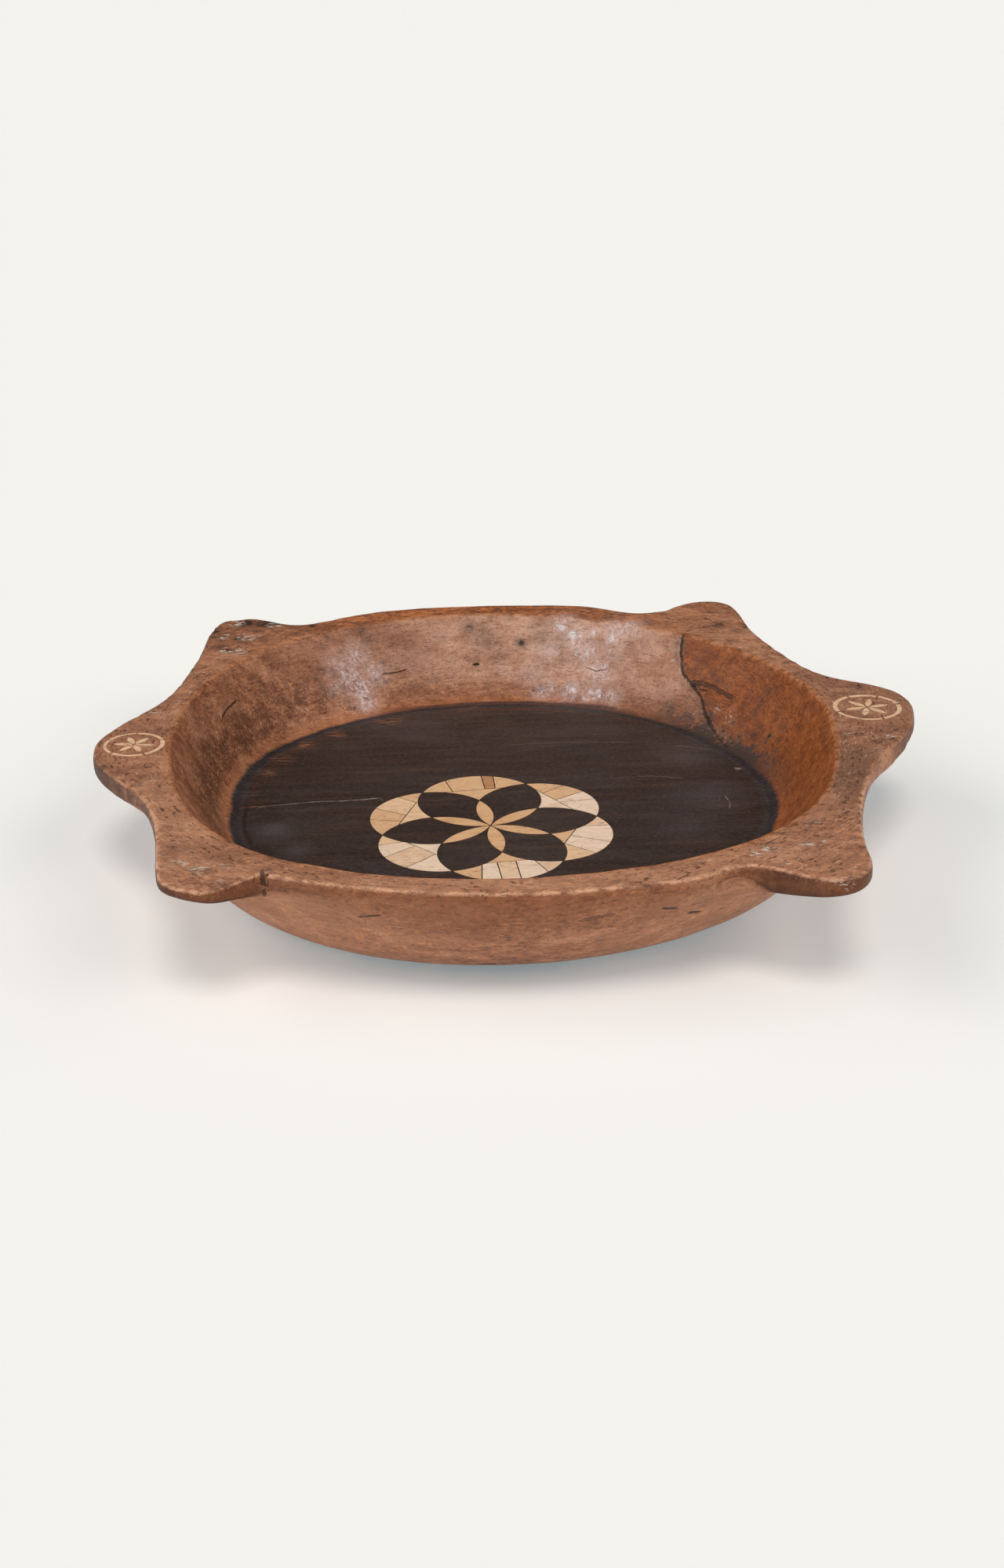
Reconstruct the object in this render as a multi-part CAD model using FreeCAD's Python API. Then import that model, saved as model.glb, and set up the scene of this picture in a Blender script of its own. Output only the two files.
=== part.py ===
"""Carved wooden bowl with six scalloped lugs and light inlay work.

One piece of hardwood forms the bowl. A flower of light slips is let into its
floor, and a ring with six petals is let into each of the two middle lugs.
Millimetres, +Z up, origin on the table under the centre of the bowl's box.
"""
import FreeCAD
import Part
import math
import os

# Overall sizes of the bowl
HEIGHT = 72.0                  # table to rim
FLOOR_LEVEL = 22.0             # top of the floor inside
BOWL_CENTRE = (-5.0, -1.0)     # axis of opening and foot
WALL_TOP = 60.0                # where the outer wall ends inside the lug plate
CORNER_ROUND = 14.0            # rounding where the inner wall meets the floor

# Full, rounded outside of the wall: share of the way up, share of the way out
WALL_PROFILE = ((0.0, 0.0), (0.12, 0.33), (0.30, 0.57), (0.55, 0.79),
                (0.80, 0.95), (1.0, 1.0))

# Radii of the hand-cut, slightly squared shapes, one for each eighth of a
# turn: right, back right, back, back left, left, front left, front, front right
OPENING_RADII = (200.0, 202.0, 208.0, 212.0, 199.0, 216.0, 207.0, 212.0)
FLOOR_RADII = (166.0, 168.0, 172.0, 172.0, 166.0, 172.0, 172.0, 170.0)
BODY_RADII = (211.0, 215.0, 224.0, 222.0, 213.0, 222.0, 223.0, 224.0)
FOOT_RADII = (158.0, 162.0, 165.0, 166.0, 164.0, 171.0, 164.0, 161.0)

# Lugs: one plate round the rim, thinning towards the lug tips
PLATE_INNER_RADIUS = 190.0     # inside the wall, so plate and wall are one
LUG_UNDERSIDE_RADIUS = 222.0   # where the plate's underside leaves the wall
LUG_ROOT_THICKNESS = 16.0
LUG_TAPER = 6.0                # run out for each millimetre of thinning
EDGE_ROUND = 2.5

# Rosette in the floor: six overlapping circles through one centre
ROSETTE_CENTRE = (-14.5, -35.5)
ROSETTE_RADIUS = 37.7
ROSETTE_TURN = 37.7            # direction of the first circle, degrees
ROSETTE_DEPTH = 3.0
JOINT_WIDTH = 0.7              # dark filled joint between two slips
SLIP_INSET = 0.4               # slips stop this far inside the drawn circles
RECESS_INSET = 0.15            # and their recesses this far

# Medallions on the middle lugs
MEDALLION_DEPTH = 2.0
PETAL_REACH = 0.68             # petal tip, as a share of the ring's radius
PETAL_START = 1.0              # petals stop this far from the centre
PETAL_WIDTH = 3.8
MEDALLION_GAP = 0.15

# Outline of rim and lugs seen from above, a smooth closed curve through points
# set out anticlockwise from the left end of the front rim
OUTLINE = (
    (-134, -197), (-105, -209), (-60, -221), (0, -227), (60, -221), (94, -211),
    (112, -202), (127, -207), (142, -217),    # valley and front right lug
    (162, -223), (176, -212), (180.5, -184),
    (185, -150), (193.5, -114.5), (214, -65),  # hollow
    (243, -16), (249, 5), (250, 27),          # right lug, blunt
    (244, 42), (222.5, 59), (202, 78.5),
    (191.5, 100), (181, 130.5), (173, 165),   # hollow
    (170, 200), (162.5, 219), (140.5, 221.5),  # back right lug
    (123, 209.5), (104, 202.5), (73, 217),
    (30, 226.5), (-12, 228.5), (-60, 225),    # back rim
    (-104.5, 211.5), (-133.5, 199), (-149, 202),
    (-165, 212), (-184.5, 211), (-194.5, 190),  # back left lug
    (-198.5, 150), (-204.5, 108), (-218.5, 56.5),  # hollow
    (-243.5, 13), (-250, -17), (-241.5, -46.5),  # left lug
    (-216.5, -86), (-203.5, -128), (-199.5, -162),  # hollow
    (-197, -186), (-193, -200), (-182, -209.5), (-167, -213.5),  # front left lug
    (-155, -205), (-145, -198),
)

# Joints that divide each outer shell of the rosette into slips. Each joint is
# a straight line: distance out along the shell's middle line, distance to its
# left, and its direction in degrees from the middle line.
SHELL_JOINTS = {
    "right_back": ((54, 3, 86), (65, 15, 1), (65, 1, 176), (64, -8, 151)),
    "back": ((54, 1, 89), (64, 15, 6), (65, -7, 177), (65, -14, 174)),
    "left_back": ((63, -20, 164), (54, -4, 93), (65, 0, 172), (64, 13, 11)),
    "left_front": ((60, -20, 157), (51, -4, 96), (64, -8, 1), (61, 10, 6)),
    "front": ((51, 6, 89), (60, -16, 170), (61, -6, 177), (61, 5, 177),
              (58, 18, 16)),
    "right_front": ((50, 2, 89), (59, -13, 162), (58, 19, 22), (61, 1, 178)),
}

# Medallions: centre, outer radius, turn of the first petal, then the ring's
# slips as start angle, end angle and width
MEDALLIONS = {
    "left": ((-225.5, -12.3), 18.2, -8.0, (
        (-62.0, 18.0, 2.6), (22.0, 88.0, 2.2), (92.0, 150.0, 1.8),
        (156.0, 222.0, 1.9), (228.0, 292.0, 2.4))),
    "right": ((220.5, 12.3), 21.0, 12.0, (
        (-70.0, 8.0, 2.6), (14.0, 58.0, 2.4), (62.0, 112.0, 3.2),
        (117.0, 196.0, 2.8), (200.0, 285.0, 2.0))),
}


def vector(x, y, z=0.0):
    return FreeCAD.Vector(x, y, z)


def polar(centre, radius, degrees):
    """Point at a radius and direction from a centre."""
    angle = math.radians(degrees)
    return (centre[0] + radius * math.cos(angle),
            centre[1] + radius * math.sin(angle))


def smooth_loop(points, level):
    """Closed smooth curve through points at one level."""
    curve = Part.BSplineCurve()
    curve.interpolate(Points=[vector(x, y, level) for x, y in points],
                      PeriodicFlag=True)
    return curve.toShape()


def hand_curve(radii, level):
    """Closed smooth curve through the eight radii round the bowl's axis."""
    points = [polar(BOWL_CENTRE, radius, 45.0 * step)
              for step, radius in enumerate(radii)]
    return Part.Wire(smooth_loop(points, level))


def edges_at(solid, level):
    """Edges of a solid that lie flat at one level."""
    return [edge for edge in solid.Edges
            if abs(edge.BoundBox.ZMin - level) < 0.01
            and abs(edge.BoundBox.ZMax - level) < 0.01]


def blend(radii_from, radii_to, share):
    return [a + (b - a) * share for a, b in zip(radii_from, radii_to)]


def prism(wire_or_edges, bottom, top):
    """Upright solid on a closed flat outline."""
    face = Part.Face(Part.Wire(wire_or_edges))
    face.translate(vector(0, 0, bottom))
    return face.extrude(vector(0, 0, top - bottom))


def body():
    """Outside of the bowl: flat foot and rounded wall up into the lug plate."""
    sections = [hand_curve(blend(FOOT_RADII, BODY_RADII, out), WALL_TOP * up)
                for up, out in WALL_PROFILE]
    return Part.makeLoft(sections, True)


def lug_plate():
    """Rim and lugs as one plate whose underside rises towards the tips."""
    depth = LUG_ROOT_THICKNESS + (LUG_UNDERSIDE_RADIUS - PLATE_INNER_RADIUS) / LUG_TAPER
    plate = prism([smooth_loop(OUTLINE, 0.0)], HEIGHT - depth, HEIGHT)
    plate = plate.makeFillet(EDGE_ROUND, edges_at(plate, HEIGHT))
    cone = Part.makeCone(PLATE_INNER_RADIUS, PLATE_INNER_RADIUS + depth * LUG_TAPER,
                         depth, vector(*BOWL_CENTRE, HEIGHT - depth))
    return plate.common(cone)


def cavity():
    """Flared inside with a rounded foot to its wall."""
    wall_depth = HEIGHT - FLOOR_LEVEL
    corner = CORNER_ROUND / wall_depth
    sections = [hand_curve(blend(OPENING_RADII, FLOOR_RADII, -0.1),
                           HEIGHT + 0.1 * wall_depth)]
    for share in (0.0, 0.35, 1.0 - corner):
        radii = blend(OPENING_RADII, FLOOR_RADII, share * 0.93)
        sections.append(hand_curve(radii, HEIGHT - share * wall_depth))
    sections.append(hand_curve([r - 1.0 for r in FLOOR_RADII],
                               FLOOR_LEVEL + 0.2 * CORNER_ROUND))
    sections.append(hand_curve([r - 0.6 * CORNER_ROUND for r in FLOOR_RADII],
                               FLOOR_LEVEL))
    return Part.makeLoft(sections, True)


def disc(centre, radius, bottom, top):
    return Part.makeCylinder(radius, top - bottom, vector(*centre, bottom))


def rosette_circle(index, change, bottom, top):
    centre = polar(ROSETTE_CENTRE, ROSETTE_RADIUS, ROSETTE_TURN + 60.0 * index)
    return disc(centre, ROSETTE_RADIUS + change, bottom, top)


def rosette_petal(index, gap, bottom, top):
    """Lens from the centre of the rosette to the middle of one circle."""
    one_side = rosette_circle(index - 1, -gap, bottom, top)
    return one_side.common(rosette_circle(index + 1, -gap, bottom, top))


def rosette_shell(index, gap, bottom, top):
    """The part of one circle that its two neighbours leave."""
    shell = rosette_circle(index, -gap, bottom, top)
    neighbours = [rosette_circle(index + side, gap, bottom - 1.0, top + 1.0)
                  for side in (-1, 1)]
    return shell.cut(neighbours)


def split_at_joint(slips, index, joint, bottom, top):
    """Divide the slip that lies at the middle of a joint."""
    distance, left, degrees = joint
    direction = ROSETTE_TURN + 60.0 * index
    x, y = polar(ROSETTE_CENTRE, distance, direction)
    x, y = polar((x, y), left, direction + 90.0)
    length = 2.0 * ROSETTE_RADIUS
    blade = Part.makeBox(length, JOINT_WIDTH, top - bottom + 2.0,
                         vector(-length / 2.0, -JOINT_WIDTH / 2.0, 0.0))
    blade.rotate(vector(0, 0), vector(0, 0, 1), direction + degrees)
    blade.translate(vector(x, y, bottom - 1.0))
    probe = vector(x, y, (bottom + top) / 2.0)
    divided = []
    for slip in slips:
        if slip.isInside(probe, 0.01, True):
            divided.extend(slip.cut(blade).Solids)
        else:
            divided.append(slip)
    return divided


def around(slips):
    """Slips in order of direction from the rosette's centre."""
    def direction(slip):
        centre = slip.CenterOfMass
        return math.atan2(centre.y - ROSETTE_CENTRE[1], centre.x - ROSETTE_CENTRE[0])
    return sorted(slips, key=direction)


def medallion_petal(medallion, index, gap, bottom, top):
    """Pointed petal between two arcs that cross at its tips."""
    centre, radius, turn, _ = medallion
    direction = turn + 60.0 * index
    start = polar(centre, PETAL_START - gap, direction)
    end = polar(centre, PETAL_REACH * radius + gap, direction)
    middle = polar(centre, (PETAL_REACH * radius + PETAL_START) / 2.0, direction)
    arcs = []
    for side in (90.0, -90.0):
        bulge = polar(middle, PETAL_WIDTH / 2.0 + gap, direction + side)
        arcs.append(Part.Arc(vector(*start), vector(*bulge), vector(*end)).toShape())
    return prism(Part.__sortEdges__(arcs), bottom, top)


def medallion_slip(medallion, arc, gap, bottom, top):
    """One slip of the ring: a piece of an annulus between two directions."""
    centre, radius, _, _ = medallion
    first, last, width = arc
    spread = math.degrees(gap / radius)
    first, last = first - spread, last + spread
    outer, inner = radius + gap, radius - width - gap
    middle = (first + last) / 2.0
    corners = [polar(centre, outer, first), polar(centre, outer, last),
               polar(centre, inner, last), polar(centre, inner, first)]
    outer_middle, inner_middle = polar(centre, outer, middle), polar(centre, inner, middle)
    edges = [
        Part.Arc(vector(*corners[0]), vector(*outer_middle), vector(*corners[1])).toShape(),
        Part.makeLine(vector(*corners[1]), vector(*corners[2])),
        Part.Arc(vector(*corners[2]), vector(*inner_middle), vector(*corners[3])).toShape(),
        Part.makeLine(vector(*corners[3]), vector(*corners[0])),
    ]
    return prism(edges, bottom, top)


def rosette_nodes():
    """Named slips of the rosette."""
    bottom, top = FLOOR_LEVEL - ROSETTE_DEPTH, FLOOR_LEVEL
    nodes = {}
    for index, (name, joints) in enumerate(SHELL_JOINTS.items()):
        nodes["rosette_petal_" + name] = rosette_petal(index, SLIP_INSET, bottom, top)
        slips = rosette_shell(index, SLIP_INSET, bottom, top).Solids
        for joint in joints:
            slips = split_at_joint(slips, index, joint, bottom, top)
        for number, slip in enumerate(around(slips), start=1):
            nodes["rosette_shell_%s_%d" % (name, number)] = slip
    return nodes


def rosette_recesses():
    bottom, top = FLOOR_LEVEL - ROSETTE_DEPTH, FLOOR_LEVEL + 1.0
    recesses = []
    for index in range(6):
        recesses.append(rosette_petal(index, RECESS_INSET, bottom, top))
        recesses.append(rosette_shell(index, RECESS_INSET, bottom, top))
    return recesses


def medallion_shapes(gap, top):
    """Named slips of both medallions, grown by a gap for their recesses."""
    bottom = HEIGHT - MEDALLION_DEPTH
    shapes = {}
    for side, medallion in MEDALLIONS.items():
        for index in range(6):
            name = "%s_medallion_petal_%d" % (side, index + 1)
            shapes[name] = medallion_petal(medallion, index, gap, bottom, top)
        for number, arc in enumerate(medallion[3], start=1):
            name = "%s_medallion_ring_%d" % (side, number)
            shapes[name] = medallion_slip(medallion, arc, gap, bottom, top)
    return shapes


def bowl_body():
    """The carved bowl with rounded rim edges and a recess for every slip."""
    bowl = body().fuse(lug_plate()).cut(cavity())
    opening = min(edges_at(bowl, HEIGHT), key=lambda edge: edge.Length)
    bowl = bowl.makeFillet(EDGE_ROUND, [opening])
    recesses = rosette_recesses()
    recesses.extend(medallion_shapes(MEDALLION_GAP, HEIGHT + 1.0).values())
    return bowl.cut(recesses)


def build():
    nodes = {"bowl_body": bowl_body()}
    nodes.update(rosette_nodes())
    nodes.update(medallion_shapes(0.0, HEIGHT))
    return nodes


os.makedirs("parts", exist_ok=True)
for node_name, shape in build().items():
    shape.exportStep("parts/%s.step" % node_name)
    print(node_name, len(shape.Solids), round(shape.Volume, 1), shape.isValid())
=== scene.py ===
"""Looks of the carved wooden bowl with light inlay work.

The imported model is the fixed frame. The inlay slips stay as they are and get
their materials here. The bowl itself is replaced by a finely divided, hand-cut
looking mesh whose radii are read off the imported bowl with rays.
Lengths are millimetres in the frame of the part until the bowl's mesh is made
from them. The studio floor and the camera are given in metres.
"""
import itertools
import math

import bpy
import numpy as np
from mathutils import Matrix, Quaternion, Vector
from mathutils.bvhtree import BVHTree


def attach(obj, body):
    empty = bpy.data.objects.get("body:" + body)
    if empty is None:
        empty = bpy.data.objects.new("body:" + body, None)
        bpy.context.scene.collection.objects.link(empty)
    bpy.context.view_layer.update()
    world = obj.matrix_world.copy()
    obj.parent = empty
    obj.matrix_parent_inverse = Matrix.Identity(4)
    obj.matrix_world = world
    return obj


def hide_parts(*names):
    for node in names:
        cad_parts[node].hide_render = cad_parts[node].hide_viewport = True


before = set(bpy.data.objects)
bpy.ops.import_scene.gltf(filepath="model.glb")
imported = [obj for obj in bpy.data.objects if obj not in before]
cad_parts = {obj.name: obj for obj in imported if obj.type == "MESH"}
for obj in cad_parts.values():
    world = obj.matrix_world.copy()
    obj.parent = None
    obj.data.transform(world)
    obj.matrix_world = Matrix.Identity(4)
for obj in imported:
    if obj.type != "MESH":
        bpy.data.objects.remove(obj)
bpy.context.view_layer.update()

MM = 0.001
BOWL_CENTRE = np.array((-5.0, -1.0))
BOWL_NODE = "bowl_body"
RING_RADIUS = 215.0            # middle of the rim, where the grain marks keep their length

# Levels and roundings of the visible bowl
RIM_LEVEL = 71.85              # just under the tops of the medallion slips
FLOOR_LEVEL = 21.75            # just under the tops of the rosette slips
CORNER_ROUND = 15.0            # inner wall to floor
INNER_EDGE_ROUND = 2.8         # inner wall to rim
OUTER_EDGE_ROUND = 3.2         # rim to side
LOWER_EDGE_ROUND = 3.0         # side to underside
FOOT_FLAT = 154.0              # radius of the flat underside of the foot
FOOT_HOLLOW = 0.8

# Lug plate, as in the part: underside height at the wall and its rise outwards
PLATE_UNDERSIDE = 56.0
PLATE_WALL_RADIUS = 222.0
PLATE_TAPER = 6.0
WALL_JOIN_LEVEL = 42.0         # where the underside has run out into the wall
LUG_OVERHANG = 30.0            # an overhang this wide has a full underside
SIDE_LOST = 0.8                # share of the side's height missing between the lugs
LEAST_TURN = 16.0              # degrees the lower edge turns between the lugs
FULL_TURN = 80.0               # and under a lug

# Fineness of the mesh
COLUMNS = 832                  # divides by the coarsest step below
COARSEST_STEP = 32
NARROWEST_FACE = 0.675         # rings skip columns until their faces are this wide
DIRECTIONS = 1440              # rays round the bowl

# The front rim ends in a step, and the lug beside it is bevelled up to the step
STEP_DIRECTION = -124.6        # degrees
BEVEL_END = -127.8
BEVEL_DEPTH = 8.0

# The front right lug is thicker than the rest
THICK_LUG_DIRECTION = -53.0
THICK_LUG_SPREAD = 15.0
THICK_LUG_DROP = 5.0

# Radius that the black stain of the floor reaches, every 30 degrees from +X
STAIN_RADII = (168, 163.5, 166, 164, 167, 171.5, 166, 171, 169, 167, 167, 166)

# Seam of the old break: level and direction, with the mended wood right of it
SEAM_LEVELS = (22, 24, 28, 32, 40, 47, 50, 60, 72)
SEAM_DIRECTIONS = (16, 25, 34, 38, 40.5, 44.7, 47, 49, 50)

MEDALLIONS = (((-225.5, -12.3), 18.2), ((220.5, 12.3), 21.0))

# Marks in the wood: points, half width, tone (dark below zero, pale above)
MARKS = (
    # seam of the old break in the back right wall
    (((125, 153, 72), (123, 148, 63), (123, 137, 50), (127, 130, 46.5), (133, 117, 40),
      (134, 107, 32), (137, 96, 27.5)), 1.1, -0.85),
    (((137, 96, 27.5), (141, 82, 25), (144, 74, 24)), 0.5, -0.7),
    (((121.5, 150, 69), (120.5, 146, 61), (120.5, 138, 52), (124, 131, 46)), 1.3, 0.5),
    (((129, 128, 47), (135, 123, 47.5), (141, 116, 47), (151, 100, 46)), 1.7, -0.65),
    # crack in the left wall
    (((-180.5, 76, 52.5), (-178, 86, 54), (-173, 98, 54.5)), 0.7, -0.9),
    # slit beside the front left lug
    (((-140.5, -191, 70.5), (-140.3, -194, 66)), 1.3, -0.75),
    (((-140, -195, 62.5), (-139.5, -195, 58.5)), 1.1, -0.75),
    # short checks in the back wall, then in the outside of the front
    (((-78, 174, 41.6), (-69, 177, 41.3), (-62.5, 180, 42)), 0.5, -0.8),
    (((-15, 187, 41.6), (-12, 187, 41.8)), 1.0, -1.0),
    (((64, 176, 40), (70, 173, 38), (77, 171, 40)), 0.4, -0.7),
    (((-91, -206, 50), (-86, -209, 52), (-80, -211, 54)), 0.7, -0.9),
    (((24, -221, 51.5), (31, -220, 53), (41, -219, 54)), 1.5, -0.45),
    (((67, -214, 54), (75, -210, 52)), 1.0, -0.85),
    (((83, -202, 44), (89, -198, 42.5)), 1.2, -0.85),
    (((-28, -190, 11), (-20, -190, 11)), 1.2, -0.9),
    # groove round the left end of the floor
    (((-162, 4, 22), (-163.5, -12, 22), (-162, -32, 22), (-157, -50, 22)), 1.3, -0.55),
    # long and short hairlines on the floor
    (((-155, 3, 22), (-141, 5, 22), (-121, 8, 22), (-102, 8, 22), (-83, 10, 22)), 0.5, 0.7),
    (((-92, 9, 22), (-81, 10.5, 22)), 0.8, 0.6),
    (((72, 32, 22), (90, 31.5, 22), (109, 27, 22)), 0.4, 0.35),
    (((111, 80, 22), (120, 77, 22), (131, 72, 22)), 0.4, 0.35),
    (((-1, 89, 22), (40, 91, 22), (80, 88, 22)), 0.35, 0.25),
    (((0, 14, 22), (11, 13.6, 22)), 0.4, 0.3),
    (((132, -3, 22), (133.5, -12, 22), (132, -21, 22)), 0.5, 0.4),
    # hairlines in the rim, beside the right medallion and at the back right
    (((198, -55, 72), (203, -58.5, 72), (209, -58, 72), (214, -52, 72)), 0.4, -0.6),
    (((127, 160, 72), (134, 165, 72), (141, 168, 72), (150, 171, 72)), 0.4, -0.8),
)

# Soft dark patches, burnt through where strong; those along the seam are partly painted shade: x,
# y, z, radius, strength
SMUDGES_AND_SHADE = (
    # back left lug
    (-194, 190, 71, 14, 0.95), (-198, 175, 71, 10, 0.9), (-198, 161, 71, 8, 0.7),
    (-172, 203, 72, 13, 0.95), (-160, 200, 72, 14, 1.0), (-163, 185, 72, 7, 0.95),
    (-149, 202, 72, 13, 0.95), (-138, 198, 72, 11, 0.9), (-126, 193, 72, 9, 0.8),
    (-186, 156, 72, 8, 0.95), (-180, 149, 72, 7, 0.9), (-115, 190, 72, 8, 0.5),
    (-175, 172, 72, 8, 0.85), (-160, 172, 72, 7, 0.8), (-190, 176, 72, 8, 0.8),
    # back wall
    (-17, 201, 63, 10, 0.72), (-10, 199, 59, 11, 0.72), (-4, 196, 54, 10, 0.6),
    (2, 190, 46, 9, 0.45), (18, 193, 54.5, 7, 0.8), (32, 193, 59, 13, 0.6), (44, 189, 58, 9, 0.5),
    (-92, 189, 69, 8, 0.7), (-87, 186, 63, 8, 0.6), (-117, 178, 69, 4, 0.7),
    (-120, 171, 64, 5, 0.4), (-111, 163, 48, 5, 0.6), (91, 167, 57, 7, 0.4),
    (111, 126, 28.5, 6, 1.0), (105, 126, 25, 6, 0.9), (-60, 186, 54, 22, 0.35),
    (-40, 192, 62, 12, 0.25), (100, 163, 62, 8, 0.35),
    # right wall with the seam, right and front right lugs; the patches along the seam, from (121,
    # 151, 67) to (143, 88, 27), are partly painted shade
    (143, 167, 72, 7, 0.6), (152, 171, 72, 9, 0.9), (163, 160, 72, 8, 0.7), (168, 53, 38, 4, 0.9),
    (160, 65, 33, 6, 0.9), (164, 67, 39, 4, 0.7), (175, 47, 46, 6, 0.4), (131, 133, 55, 3.5, 0.7),
    (186, -6, 58, 3, 0.6), (121, 151, 67, 4, 0.7), (120, 147, 61, 4, 0.7), (121, 141, 55, 4, 0.6),
    (124, 151, 66, 6, 0.75), (126, 137, 50, 5, 0.85), (129, 126, 45, 5, 0.9),
    (134, 112, 37, 6, 0.85), (136, 102, 30, 7, 0.95), (143, 88, 27, 8, 0.8),
    (171, 79, 58, 5, 0.75), (167, 79, 51, 5, 0.8), (162, 78, 44, 5, 0.8), (175, -1, 41, 2, 0.8),
    (170, 10, 33, 2, 0.7), (166, 33, 32, 2, 0.8), (223, 46, 72, 9, 0.8), (240, 38, 71, 8, 0.5),
    (190, 77, 72, 6, 0.5), (228, 55, 72, 8, 0.6), (200, -58, 72, 12, 0.35),
    (181, -86, 72, 8, 0.35), (170, -222, 70, 7, 0.9), (176, -212, 70, 6, 0.5),
    (150, -190, 72, 10, 0.3),
    # left, front left and front
    (-231, -54, 72, 9, 0.6), (-241, -44, 70, 8, 0.8), (-214, -60, 72, 8, 0.45),
    (-206, -80, 72, 9, 0.4), (-216, -70, 72, 6, 0.5), (-192, 46, 58, 12, 0.4),
    (-188, 30, 50, 14, 0.5), (-186, 5, 44, 14, 0.5), (-172, -30, 32, 14, 0.5),
    (-176, 88, 50, 12, 0.25), (-188, -160, 72, 12, 0.45), (-165, -170, 72, 12, 0.35),
    (-196, -130, 72, 4, 0.6), (-160, -150, 72, 4, 0.5), (60, -220, 71, 4, 0.3),
)

# Where the wood is chipped down to pale fibres: x, y, z, radius, strength
CHIPPED = (
    (-178, 204, 72, 9, 1.0), (-168, 174, 72, 11, 1.0), (-175, 148, 72, 11, 1.0),
    (-182, 150, 72, 8, 0.9), (-185, 176, 72, 9, 0.8), (-152, 196, 72, 9, 0.8),
    (-186, -178, 72, 10, 0.7), (-174, -186, 72, 9, 0.8), (-160, -183, 72, 8, 0.5),
    (-214, -69, 72, 3, 1.0), (-206, -108, 72, 3, 0.8), (133, -202, 72, 4, 1.0),
    (118, -188, 72, 8, 0.8), (128, -184, 72, 9, 0.9), (148, -180, 72, 8, 0.7),
    (158, -176, 72, 6, 0.6), (158, -150, 72, 8, 0.5), (162, -225, 70, 9, 1.0),
    (152, -225, 71, 8, 0.9), (202, -27, 72, 5, 1.0), (214, -50, 72, 4, 0.9),
    (225, -34, 72, 5, 0.8), (238, 20, 72, 8, 0.7), (158, 200, 72, 8, 0.5), (122, 203, 72, 6, 0.5),
    (-81, -208, 72, 5, 0.8), (147, 39, 24, 5, 1.0), (140, 48, 24, 4, 0.8), (148, 92, 36, 12, 0.5),
    (143, 104, 36, 9, 0.5), (118, 152, 62, 5, 0.7), (117, 147, 56, 4, 0.6),
    (-219, 40, 72, 8, 0.5), (-205, 60, 72, 8, 0.4),
)

# Milky bloom of worn polish mixed with painted sheen, and painted glints where it is strong: x,
# y, z, radius, strength
BLOOM_AND_SHEEN = (
    (-109, 167, 51, 12, 0.7), (-101, 166, 45, 15, 0.9), (-93, 162, 36, 14, 1.0),
    (-89, 155, 29, 12, 0.9), (-84, 172, 43, 13, 0.8), (-96, 176, 54, 14, 0.7),
    (-112, 160, 38, 12, 0.6), (37, 186, 51, 15, 0.6), (48, 194, 67, 12, 0.9),
    (54, 187, 60, 14, 0.9), (61, 179, 52, 18, 0.8), (70, 168, 42, 16, 0.8),
    (30, 169, 28, 11, 0.8), (46, 163, 27, 11, 1.0), (62, 159, 28, 11, 1.0),
    (76, 153, 28, 11, 0.9), (53, 188, 61, 7, 1.5), (46, 193, 65, 6, 1.4), (79, 177, 61.5, 6, 1.4),
    (67, 184, 64, 5, 1.3), (36, 171, 30.5, 6, 1.2), (51, 166, 30, 8, 1.35),
    (67, 158, 29.5, 7, 1.3), (82, 179, 66, 12, 0.9), (92, 177, 69, 12, 0.8),
    (78, 173, 54, 14, 0.6), (25, 179, 37, 12, 0.5), (-145, -32, 22, 14, 0.6),
    (-130, -62, 22, 14, 0.4), (-60, 120, 22, 30, 0.2), (120, 60, 22, 28, 0.35),
    (118, 0, 22, 34, 0.3), (100, -50, 22, 30, 0.2),
)

# Where the black of the floor is rubbed through to orange: x, y, z, radius, strength
RUBBED = (
    (-144, 77, 22, 9, 1.0), (-131, 100, 22, 9, 1.0), (-153, 54, 22, 7, 0.9),
    (-110, 118, 22, 9, 0.8), (-76, 139, 22, 13, 0.7), (-160, 3, 22, 7, 0.8),
    (-20, 162, 22, 14, 0.5), (30, 164, 22, 14, 0.4), (-160, 20, 22, 6, 0.4),
)

# Dents cut or knocked into the surface: x, y, z, radius, depth
DENTS = (
    (162, -226, 70, 7, 1.8), (151, -224, 71, 6, 1.1), (-178, 204, 72, 7, 1.3),
    (-166, 178, 72, 7, 1.2), (-174, 146, 72, 6, 1.0), (-190, 190, 72, 7, 1.0),
    (-139.5, -196, 66, 3.5, 1.6), (-214, -69, 72, 4, 0.8), (133, -200, 72, 4, 0.6),
    (68, -219, 70, 5, 0.7), (-60, -221, 70, 6, 0.5), (239, -20, 66, 9, 1.0),
    (168, 53, 38, 6, 0.7), (120, 204, 70, 7, 0.8), (-205, -186, 66, 8, 0.8),
)


# Studio: lamps with direction, strength and angle, then the floor and the camera
SUNS = {
    "top_box": ((0.0, -0.37, 0.93), 1.16, 25.0),
    "left_window": ((-0.85, 0.05, 0.52), 1.35, 50.0),
    "right_window": ((0.85, 0.05, 0.52), 0.46, 50.0),
    "right_box": ((0.657, -0.413, 0.624), 0.66, 34.0),
    "left_box": ((-0.532, -0.527, 0.658), 0.26, 34.0),
}
WORLD_STRENGTH = 0.06
FLOOR_REACH = 15.0
FLOOR_CELLS = 12
FLOOR_LOOK = {
    "Base Color": (0.83, 0.738, 0.668, 1.0),
    "Roughness": 1.0,
    "Specular IOR Level": 0.0,
    "Emission Color": (0.655, 0.915, 1.0, 1.0),
    "Emission Strength": 0.257,
}
CAMERA_POSITION = (-0.0623, -1.2019, 0.5619)
CAMERA_TARGET = (-0.0098, -0.0880, 0.0720)
CAMERA_ROLL = -0.0123          # radians
CAMERA_LENS = 49.19            # millimetres, on a sensor 36 mm wide


def add_object(name, data):
    added = bpy.data.objects.new(name, data)
    bpy.context.scene.collection.objects.link(added)
    return added


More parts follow.
